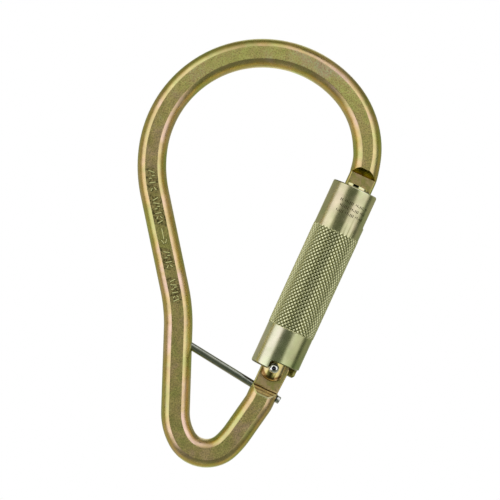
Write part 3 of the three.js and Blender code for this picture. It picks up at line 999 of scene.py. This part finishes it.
class Looks(Nodes):
    """One material. Its distances are in millimetres."""

    def __init__(self, name):
        self.material = bpy.data.materials.new(name)
        super().__init__(self.material)
        self.shader = self.tree.nodes["Principled BSDF"]
        self.where = self.add("ShaderNodeTexCoord", output="Object")

    def noise(self, size, detail=2.0, rough=0.5, where=None, distortion=0.0):
        made = self.node("ShaderNodeTexNoise")
        self.put(made.inputs["Vector"], where or self.where)
        made.inputs["Scale"].default_value = 1 / (size * MM)
        made.inputs["Detail"].default_value = detail
        made.inputs["Roughness"].default_value = rough
        made.inputs["Distortion"].default_value = distortion
        return Signal(self, made.outputs["Fac"])

    def bump(self, height, depth, strength, after=None):
        made = self.node("ShaderNodeBump")
        made.inputs["Strength"].default_value = strength
        made.inputs["Distance"].default_value = depth * MM
        self.put(made.inputs["Height"], height)
        if after is not None:
            self.put(made.inputs["Normal"], after)
        return Signal(self, made.outputs[0])

    def finish(self, **inputs):
        for key, value in inputs.items():
            self.put(self.shader.inputs[key.replace("_", " ").title()], value)
        return self.material

    def measured(self, origin, direction):
        """How far a point lies from an origin along a direction."""
        away = self.add("ShaderNodeVectorMath", self.where, tuple(origin * MM), operation="SUBTRACT")
        return self.dot(away, direction / MM)

    def gate_lines(self):
        """Distances across, behind and along the gate line."""
        over = self.measured(HINGE, GATE_PLACE.to_3x3() @ Vector((1, 0, 0)))
        behind = self.measured(HINGE, Vector((0, 1, 0)))
        return over, behind, self.measured(HINGE, GATE_UP)

    def reach(self, a, b):
        """How far out a point is, from its distances along two directions at right angles."""
        return self.math("SQRT", self.math("POWER", a, 2.0) + self.math("POWER", b, 2.0))

    def lathe(self, along, size):
        """Fine lines round the gate line, as turning leaves them."""
        return self.noise(size, 1.0, 0.5, self.add("ShaderNodeCombineXYZ", 0.0, 0.0, along * MM))

    def facing_out(self):
        """1 on the faces that lie square to the bar's front and back, and 0 on its round sides."""
        normal = self.add("ShaderNodeNewGeometry", output="True Normal")
        return abs(self.add("ShaderNodeSeparateXYZ", normal, output=1)).spread(0.965, 0.99)

    def plating(self, gold, green, pink, patch):
        """Yellow zinc plating: broad drifts of gold, green and pink, with small clouds in them."""
        drift = self.noise(patch, 2.0, 0.5, distortion=0.6)
        fine = self.noise(patch / 5, 3.0, 0.6)
        colour = (drift * 0.75 + fine * 0.25).ramp((0.37, green), (0.5, gold), (0.63, pink))
        return colour.tinted(self.noise(patch / 4, 3.0, 0.6).spread(0.3, 0.7, 0.88, 1.08).grey())


def shoulder_masks(over, behind_by, past):
    """Where the slope from a tang to the full thickness is, the worn strip at its root, and the crease at its
    root where shade is painted.
    """
    off_slope = abs(behind_by - past - TANG_HALF_THICKNESS)
    slope = off_slope.spread(0.06, 0.12, 1.0, 0.0) * over.within(-8.0, 8.0) * past.within(0.05, 3.2)
    near = over.within(-6.6, 6.9) * behind_by.within(3.03, 3.9, 0.02)
    return slope, near * past.within(-0.6, -0.05), near * past.within(0.02, 0.42)


def hinge_slope(looks, base, over, behind_by, along):
    """The milled slope at the hinge, with the cutter's lines. Also says where metal is rubbed bare."""
    past = (along - HINGE_SHOULDER) * -1.0
    slope, worn, root_crease_shade = shoulder_masks(over, behind_by, past)
    lines = looks.math("SINE", along * (2 * math.pi / CUTTER_PITCH)).spread(-1, 1, 0.6, 1.4)
    base = base.under(slope, lines.grey().tinted((0.90, 0.66, 0.28)))
    across_bar = over.spread(-6.0, 6.0)
    base = base.under(worn, across_bar.ramp((0.3, (0.50, 0.36, 0.14)), (0.8, (0.95, 0.74, 0.38))))
    # painted shade in the crease at the slope's root
    base = base.under(root_crease_shade, (0.10, 0.05, 0.01))
    # the slope's outer rim is rubbed to a pale line
    beyond = past - (behind_by - TANG_HALF_THICKNESS)
    rim = beyond.within(0.12, 0.75, 0.08) * past.within(0.3, 3.9) * over.within(-8.0, 8.0)
    pale = across_bar.ramp((0.25, (0.80, 0.82, 0.30)), (0.75, (1.0, 0.92, 0.60)))
    return base.under(rim * 0.85, pale), worn.larger(slope * 0.5).larger(rim * 0.8)


def nose_slope(base, over, behind_by, along):
    """The milled slope at the nose, which is olive, with painted shade that darkens it towards the full
    thickness and in the crease at its root.
    """
    past = along - NOSE_SHOULDER
    slope, worn, root_crease_shade = shoulder_masks(over, behind_by, past)
    # olive, with painted shade that darkens it towards the full thickness
    olive = past.spread(0.0, 3.0).ramp(
        (0.0, (0.50, 0.33, 0.02)), (0.45, (0.46, 0.38, 0.02)), (1.0, (0.17, 0.16, 0.01)))
    base = base.under(slope, olive)
    base = base.under(worn, (0.42, 0.20, 0.03))
    # painted shade in the crease at the slope's root
    return base.under(root_crease_shade, (0.34, 0.18, 0.01))


def nose_tang_shadow(looks, base, over, along, on_tang):
    """Painted shadow on the nose tang beside the gate, most of it at the sleeve's mouth."""
    ragged = looks.noise(1.5, 3.0, 0.6).spread(0.3, 0.7, -0.7, 0.5)
    beside = (abs(over + 0.3) + ragged).spread(4.4, 5.2)
    tang_shadow = along.within(NOSE_TIP - 1.0, SLEEVE_TOP + 0.7, 0.4) * beside * on_tang * over.within(-7.0, 6.4)
    return base.under(tang_shadow * along.spread(SLEEVE_TOP - 9.0, SLEEVE_TOP, 0.1, 0.8), (0.03, 0.03, 0.01))


def marked_spine(looks, base, behind, on_flat):
    """Raised marks on a pitted flat, their tops partly rubbed bright and partly a painted highlight, with
    painted shadow at their feet. Also says where they are.
    """
    behind_by = abs(behind)
    height = looks.measured(Vector((0, 0, 0)), Vector((0, 0, 1)))
    on_spine = looks.measured(Vector((-20, 0, 0)), Vector((1, 0, 0))).spread(-1.0, 1.0, 1.0, 0.0)
    pits = looks.noise(0.9, 2.0, 0.7).ramp((0.40, (0.05, 0.05, 0.01)), (0.52, (0.66, 0.55, 0.24)))
    on_front = looks.math("LESS_THAN", behind, 0.0)
    for top, foot, _ in MARK_GROUPS:
        struck = height.within(foot - 0.5, top + 0.5, 0.3) * on_spine * (on_flat * 0.75) * on_front
        base = base.under(struck, pits)
    # painted shadow at the marks' feet
    mark_foot_shadow = behind_by.spread(BAR_HALF_FLAT + 0.01, BAR_HALF_FLAT + 0.03) * on_spine
    base = base.under(mark_foot_shadow, (0.06, 0.06, 0.01))
    # the marks' tops: partly rubbed bright, partly a painted highlight
    low, high = MARK_HEIGHT * 0.5, MARK_HEIGHT * 0.7
    on_mark = behind_by.spread(BAR_HALF_FLAT + low, BAR_HALF_FLAT + high) * on_spine
    return base.under(on_mark, (1.0, 0.98, 0.46)), on_mark


def bar_look():
    looks = Looks("plated_bar")
    colour = looks.plating((0.84, 0.65, 0.30), (0.70, 0.70, 0.26), (0.92, 0.68, 0.48), 20.0)
    flat_colour = looks.plating((0.75, 0.61, 0.26), (0.67, 0.63, 0.22), (0.83, 0.61, 0.38), 14.0)
    over, behind, along = looks.gate_lines()
    behind_by = abs(behind)
    height = looks.measured(Vector((0, 0, 0)), Vector((0, 0, 1)))

    # painted sheen, fixed round the bar: olive on the bar's inner and outer sides, gold further round, cream
    # by the flats, as the plating's colour shifts with the angle it is seen at
    uneven = looks.noise(7.0, 2.0, 0.5).spread(0.3, 0.7, -0.5, 0.5)
    colour = colour.tinted((behind_by + uneven).spread(1.5, 6.5).ramp(
        (0.22, (0.80, 0.88, 0.66)), (0.50, (1.0, 0.90, 0.58)), (0.78, (1.06, 1.02, 1.16))))
    # the flats are finely grained, and paler over the top bow
    grain = looks.noise(0.6, 2.0, 0.7)
    flat_colour = flat_colour.tinted(height.spread(-45.0, -5.0, 1.0, 1.4).grey())
    flat_colour = flat_colour.tinted(grain.spread(0.35, 0.65, 0.70, 1.26).grey())
    on_tang = behind_by.within(TANG_HALF_THICKNESS - 0.02, TANG_HALF_THICKNESS + 0.02, 0.01)
    on_flat = looks.facing_out() * (1.0 - on_tang)
    matte = on_flat.larger(on_tang * 0.8)
    base = colour.under(matte, flat_colour)
    tang = looks.noise(4.0, 3.0, 0.65).ramp((0.40, (0.68, 0.62, 0.22)), (0.58, (0.98, 0.72, 0.42)))
    base = base.under(on_tang * 0.85, tang)
    wear = looks.noise(3.5, 4.0, 0.65).spread(0.62, 0.75, 0.0, 0.25)
    base = base.under(wear, (0.72, 0.70, 0.55))

    base, bare = hinge_slope(looks, base, over, behind_by, along)
    base = nose_slope(base, over, behind_by, along)
    base = nose_tang_shadow(looks, base, over, along, on_tang)
    base, on_mark = marked_spine(looks, base, behind, on_flat)

    coarse = looks.noise(1.6, 3.0, 0.6)
    rough = matte * 0.2 + coarse.spread(0.3, 0.7, 0.24, 0.34)
    normal = looks.bump(grain * matte, 0.07, 0.7, looks.bump(coarse, 0.014, 0.3))
    metal = on_mark.larger(bare).spread(0.0, 1.0, 1.0, 0.2)
    return looks.finish(base_color=base, metallic=metal, roughness=rough, normal=normal)


def sleeve_look():
    looks = Looks("plated_sleeve")
    colour = looks.plating((0.78, 0.74, 0.46), (0.66, 0.72, 0.40), (0.84, 0.72, 0.52), 26.0)
    over, behind, along = looks.gate_lines()
    out = looks.reach(over, behind)

    # painted light below the knurl: cooler and lighter on the left, where the highlight falls, and darker on
    # the right
    foot_light_and_shade = over.spread(-7.0, 5.0).ramp((0.3, (1.12, 1.20, 1.36)), (0.9, (0.82, 0.90, 0.78)))
    near_foot = along.spread(KNURL_FOOT - 0.3, KNURL_FOOT + 0.3, 1.0, 0.0)
    colour = colour.under(near_foot, colour.tinted(foot_light_and_shade))
    # in the knurl, painted shade with some soiling darkens the grooves, and the points are rubbed bright
    band = along.within(KNURL_FOOT + 0.1, KNURL_TOP - 0.1, 0.1)
    groove_shade_and_wear = out.spread(KNURL_RADIUS - 0.34, KNURL_RADIUS - 0.05, 0.32, 1.5)
    base = colour.under(band, groove_shade_and_wear.grey().tinted((0.80, 0.80, 0.46)))

    # the engraved ticks are rough and a little darker
    etched = out.spread(SLEEVE_RADIUS - 0.09, SLEEVE_RADIUS - 0.05, 1.0, 0.0)
    etched = etched * along.within(KNURL_TOP + 2, SLEEVE_TOP - 2)
    base = base.under(etched, (0.20, 0.17, 0.09))

    # the broken edges, with painted light: a dull brown painted shade at the foot, and round the top an olive
    # painted shade on the left that goes over to a cream painted highlight on the right
    broken = out.spread(SLEEVE_RADIUS - 0.10, SLEEVE_RADIUS - 0.03, 1.0, 0.0)
    foot_edge_shade = broken * along.spread(WINDOW_TOP + 0.8, WINDOW_TOP + 1.1, 1.0, 0.0)
    base = base.under(foot_edge_shade * 0.85, (0.16, 0.14, 0.07))
    top_edge_light = along.spread(SLEEVE_TOP - 0.55, SLEEVE_TOP - 0.35)
    rim = over.spread(-6.0, 0.0).ramp((0.3, (0.16, 0.16, 0.07)), (0.7, (0.98, 0.96, 0.80)))
    base = base.under(top_edge_light * 0.85, rim)
    # painted shade on the outer flank of the foot, grainy olive for the skirt's wall in shade there and made
    # less metallic; and a little wear all over
    skirt_shade = behind.within(1.0, 7.0, 1.0) * over.spread(6.0, 8.0) * along.spread(2.4, 3.4, 1.0, 0.0)
    skirt_shade_colour = looks.noise(0.7, 3.0, 0.7).ramp((0.4, (0.28, 0.26, 0.04)), (0.62, (0.75, 0.70, 0.20)))
    base = base.under(skirt_shade * 0.9, skirt_shade_colour)
    metal = skirt_shade.spread(0.0, 1.0, 1.0, 0.25)
    worn = looks.noise(2.2, 4.0, 0.7).spread(0.60, 0.74, 0.0, 0.3)
    base = base.under(worn, (0.70, 0.70, 0.52))

    rough = looks.noise(4.0, 3.0, 0.6).spread(0.3, 0.7, 0.20, 0.30) + etched * 0.35
    first = looks.bump(looks.lathe(along, 0.22), 0.004, 0.5)
    normal = looks.bump(looks.noise(0.9, 2.0, 0.6), 0.014, 0.35, first)
    return looks.finish(base_color=base, metallic=metal, roughness=rough, normal=normal)


def gate_look():
    looks = Looks("plated_gate")
    colour = looks.plating((0.86, 0.72, 0.30), (0.74, 0.72, 0.24), (0.92, 0.72, 0.46), 9.0)
    over, behind, along = looks.gate_lines()
    from_rivet = looks.reach(over, along)

    # painted light on the turned rim of the ears: a deeper orange painted for the dark it reflects, and a
    # painted highlight along its outer edge
    below = along.spread(-2.4, -1.6, 1.0, 0.0)
    rim = from_rivet.spread(4.1, 4.6) * below
    base = colour.under(rim * 0.9, (0.28, 0.13, 0.04))
    lip_highlight = from_rivet.within(5.4, 5.8, 0.08) * below * over.spread(-2.6, 0.4, 0.15, 1.0)
    base = base.under(lip_highlight, (1.0, 0.74, 0.36))
    # painted highlight on the nose end, which is pale, and painted shade filling its notch, which is dark
    crown = along.spread(GATE_TOP - 1.3, GATE_TOP - 0.9)
    base = base.under(crown * 0.7, (0.93, 0.92, 0.62))
    notch_shade = over.within(*TOP_NOTCH) * crown * behind.within(-GATE_RADIUS + 0.12, -GATE_RADIUS + 1.7)
    base = base.under(notch_shade, (0.01, 0.01, 0.01))
    # painted shade run down from the rivet, where the rivet and the sleeve shade the ear
    rivet_shade = over.within(-0.75, 0.55, 0.3) * along.within(-4.9, -1.0, 0.4)
    rivet_shade = rivet_shade * behind.spread(-2.0, -1.0, 1.0, 0.0)
    base = base.under(rivet_shade * 0.8, (0.10, 0.06, 0.02))

    rough = looks.noise(2.0, 3.0, 0.6).spread(0.3, 0.7, 0.14, 0.26)
    first = looks.bump(looks.lathe(along, 0.3), 0.006, 0.4)
    normal = looks.bump(looks.noise(1.2, 2.0, 0.6), 0.03, 0.4, first)
    return looks.finish(base_color=base, metallic=1.0, roughness=rough, normal=normal)


def finish_steel(looks, colour, rough_low, rough_high, grain_size=0.4, depth=0.01, strength=0.25):
    """Bare steel of a colour, with a fine grain in its gloss and surface."""
    grain = looks.noise(grain_size, 3.0, 0.7)
    rough = grain.spread(0.3, 0.7, rough_low, rough_high)
    normal = looks.bump(grain, depth, strength)
    return looks.finish(base_color=colour, metallic=1.0, roughness=rough, normal=normal)


def rivet_look():
    looks = Looks("bright_rivet")
    over, _, along = looks.gate_lines()
    steel = looks.noise(0.9, 3.0, 0.6).ramp((0.3, (0.94, 0.95, 0.96)), (0.7, (1.0, 1.0, 0.99)))
    # painted shade: the dimple in the dome's top is painted near black
    low, high = RIVET_HOLLOW_RADIUS - 0.15, RIVET_HOLLOW_RADIUS + 0.2
    hollow_shade = looks.reach(over, along).spread(low, high, 1.0, 0.0)
    colour = steel.under(hollow_shade * 0.93, (0.02, 0.02, 0.05))
    return finish_steel(looks, colour, 0.06, 0.14, depth=0.02, strength=0.3)


def pin_look():
    looks = Looks("pin_steel")
    along = looks.measured(PIN_END, PIN_LINE.normalized())
    colour = looks.noise(3.0, 4.0, 0.6).ramp((0.3, (0.40, 0.42, 0.40)), (0.7, (0.58, 0.60, 0.58)))
    # painted light near the free end: a painted highlight band, and a ring of painted shadow where the pin
    # leaves the bar
    colour = colour.under(along.within(-1.5, -0.35, 0.1), (0.86, 0.87, 0.90))
    colour = colour.under(along.within(-3.4, -1.6, 0.15), (0.02, 0.02, 0.02))
    return finish_steel(looks, colour, 0.14, 0.26)


def steel_look(name, bright, dark, rough_low, rough_high, grain_size):
    looks = Looks(name)
    colour = looks.noise(3.0, 4.0, 0.6).ramp((0.3, dark), (0.7, bright))
    return finish_steel(looks, colour, rough_low, rough_high, grain_size)


# ---------------------------------------------------------------- lights, floor and camera

PICTURE_CENTRE = Vector((3.65, 0.0, -82.5))
CAMERA_DISTANCE = 1100.0
PICTURE_WIDTH = 225.7
SENSOR = 36.0
ROLL = 11.2
FLOOR_RADIUS = 160.0
FLOOR_SPAN = (-1320.0, -1300.0)
TO_DEGREES = 180 / math.pi


def make_camera():
    data = bpy.data.cameras.new("camera")
    data.sensor_width = SENSOR
    data.lens = SENSOR * CAMERA_DISTANCE / PICTURE_WIDTH
    data.clip_start = 0.01
    data.clip_end = 20.0
    camera = bpy.data.objects.new("camera", data)
    bpy.context.scene.collection.objects.link(camera)
    place = (PICTURE_CENTRE - Vector((0, CAMERA_DISTANCE, 0))) * MM
    turn = Matrix.Rotation(math.radians(90), 4, "X") @ Matrix.Rotation(math.radians(ROLL), 4, "Z")
    camera.matrix_world = Matrix.Translation(place) @ turn
    bpy.context.scene.camera = camera


class Room(Nodes):
    """The studio round the object, as a world whose light depends on direction, in degrees. The
    azimuth is 0 in front of the object and grows towards its gate side."""

    def __init__(self):
        world = bpy.data.worlds.new("studio")
        bpy.context.scene.world = world
        super().__init__(world)
        self.where = self.add("ShaderNodeTexCoord", output="Generated")
        x, y, z = [self.add("ShaderNodeSeparateXYZ", self.where, output=axis) for axis in (0, 1, 2)]
        self.azimuth = self.math("ARCTAN2", x, y * -1.0) * TO_DEGREES
        self.elevation = self.math("ARCSINE", z) * TO_DEGREES

    def softbox(self, level, azimuths, elevations, soft):
        shape = self.azimuth.band(*azimuths, soft) * self.elevation.band(*elevations, soft * 1.5)
        return shape * level

    def dark_opening(self, direction, degrees):
        """Nearly 0 within some degrees of a direction and 1 elsewhere."""
        away = self.math("ARCCOSINE", self.dot(self.where, direction)) * TO_DEGREES
        return away.step(degrees, 2.0) * 0.96 + 0.04

    def by_height(self, *stops):
        """A level that depends on the elevation, from (elevation, level) stops."""
        share = (self.elevation + 90.0) / 180.0
        return share.ramp(*[((height + 90) / 180, (level, level, level)) for height, level in stops])


def room_light(room):
    """How bright the room is in each direction."""
    front = room.by_height((-90, 0.26), (-72, 0.17), (-45, 0.13), (-25, 0.11), (12, 0.10), (45, 0.40),
                           (65, 0.62), (90, 0.80))
    back = room.by_height((-90, 0.20), (-66, 0.42), (-40, 0.46), (0, 0.34), (40, 0.20), (75, 0.28),
                          (90, 0.80))
    aside = abs(room.azimuth)
    behind = aside.step(100.0, 9.0)
    level = front * (1.0 - behind) + back * behind
    # a large softbox on the left, one nearer the front on the right, and a pale wall behind
    level = level.larger(room.softbox(1.0, (-88, -36), (-42, 60), 9.0))
    level = level.larger(room.softbox(0.98, (18, 77), (-20, 52), 8.5))
    level = level.larger(room.elevation.band(-48.0, 48.0, 8.0) * (aside.step(162.0, 8.0) * 0.9))
    # overhead, the light comes from the front right, and one small dark opening is in line with the gate
    facing = room.math("COSINE", (room.azimuth - 35.0) * (math.pi / 180))
    above = room.elevation.step(56.0, 14.0)
    level = level * (1.0 - above) + (facing * 0.40 + 0.52) * above
    level = level * room.dark_opening(GATE_UP, 11.0)
    # the right side is darker further round, both low down and overhead
    darker = room.elevation.band(-22.0, -5.0, 5.0) * 0.25 + room.elevation.step(35.0, 8.0) * 0.42
    return level * (1.0 - room.azimuth.band(77.0, 150.0, 8.0) * darker)


def make_room():
    room = Room()
    level = room_light(room)
    tint = level.ramp((0.12, (0.94, 1.06, 0.70)), (0.42, (1.0, 0.98, 0.72)), (0.9, (1.0, 1.0, 1.0)))
    colour = room.node("ShaderNodeVectorMath", operation="SCALE")
    room.put(colour.inputs[0], tint)
    room.put(colour.inputs["Scale"], level)
    lit = room.tree.nodes["Background"]
    room.put(lit.inputs["Color"], Signal(room, colour.outputs[0]))
    # the backdrop is plain white
    white = room.add("ShaderNodeBackground", (1, 1, 1, 1))
    seen = room.add("ShaderNodeLightPath", output="Is Camera Ray")
    choice = room.add("ShaderNodeMixShader", seen, Signal(room, lit.outputs[0]), white)
    room.put(room.tree.nodes["World Output"].inputs["Surface"], choice)


def make_floor():
    """A pale round floor far below the hanging carabiner, so that it hardly shows in the plating."""
    profile = rounded(box_outline(0, FLOOR_RADIUS, *FLOOR_SPAN), 3.0)
    table = finish_mesh(turned_mesh(profile, 128), "table", UPRIGHT)
    looks = Looks("pale_table")
    cloud = looks.noise(60.0, 2.0, 0.5).spread(0.3, 0.7, 0.80, 0.84)
    table.data.materials.append(looks.finish(base_color=cloud.grey(), roughness=0.6))


# ---------------------------------------------------------------- assembly

def place_piece(piece, body, node, look):
    piece.data.materials.append(look)
    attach(piece, body)
    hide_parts(node)


make_camera()
bpy.context.scene.view_settings.view_transform = "Standard"
make_room()
make_floor()

bright = steel_look("bright_steel", (0.80, 0.80, 0.82), (0.66, 0.66, 0.69), 0.06, 0.14, 0.6)
wire = steel_look("spring_steel", (0.48, 0.49, 0.52), (0.36, 0.37, 0.40), 0.22, 0.34, 0.3)
bronze = steel_look("bronze", (0.72, 0.53, 0.26), (0.58, 0.42, 0.20), 0.25, 0.38, 0.4)

place_piece(make_bar(), "frame", "body", bar_look())
place_piece(make_captive_pin(), "frame", "captive_pin", pin_look())
place_piece(make_gate(), "gate_arm", "gate", gate_look())
place_piece(make_rivet(), "gate_arm", "hinge_rivet", rivet_look())
place_piece(make_latch_pin(), "gate_arm", "latch_pin", bright)
place_piece(make_collar(), "gate_arm", "upper_collar", bronze)
place_piece(make_collar_pin(), "gate_arm", "collar_pin", bright)
place_piece(make_plunger(), "plunger", "gate_plunger", bright)
place_piece(coil("closing_spring", **CLOSING_SPRING), "gate_arm", "gate_spring", wire)
place_piece(make_sleeve(), "sleeve_unit", "sleeve", sleeve_look())
place_piece(make_bush(), "sleeve_unit", "sleeve_bush", bronze)
place_piece(make_snap_ring(), "sleeve_unit", "snap_ring", wire)
place_piece(coil("twist_spring", **TWIST_SPRING), "sleeve_unit", "sleeve_spring", wire)
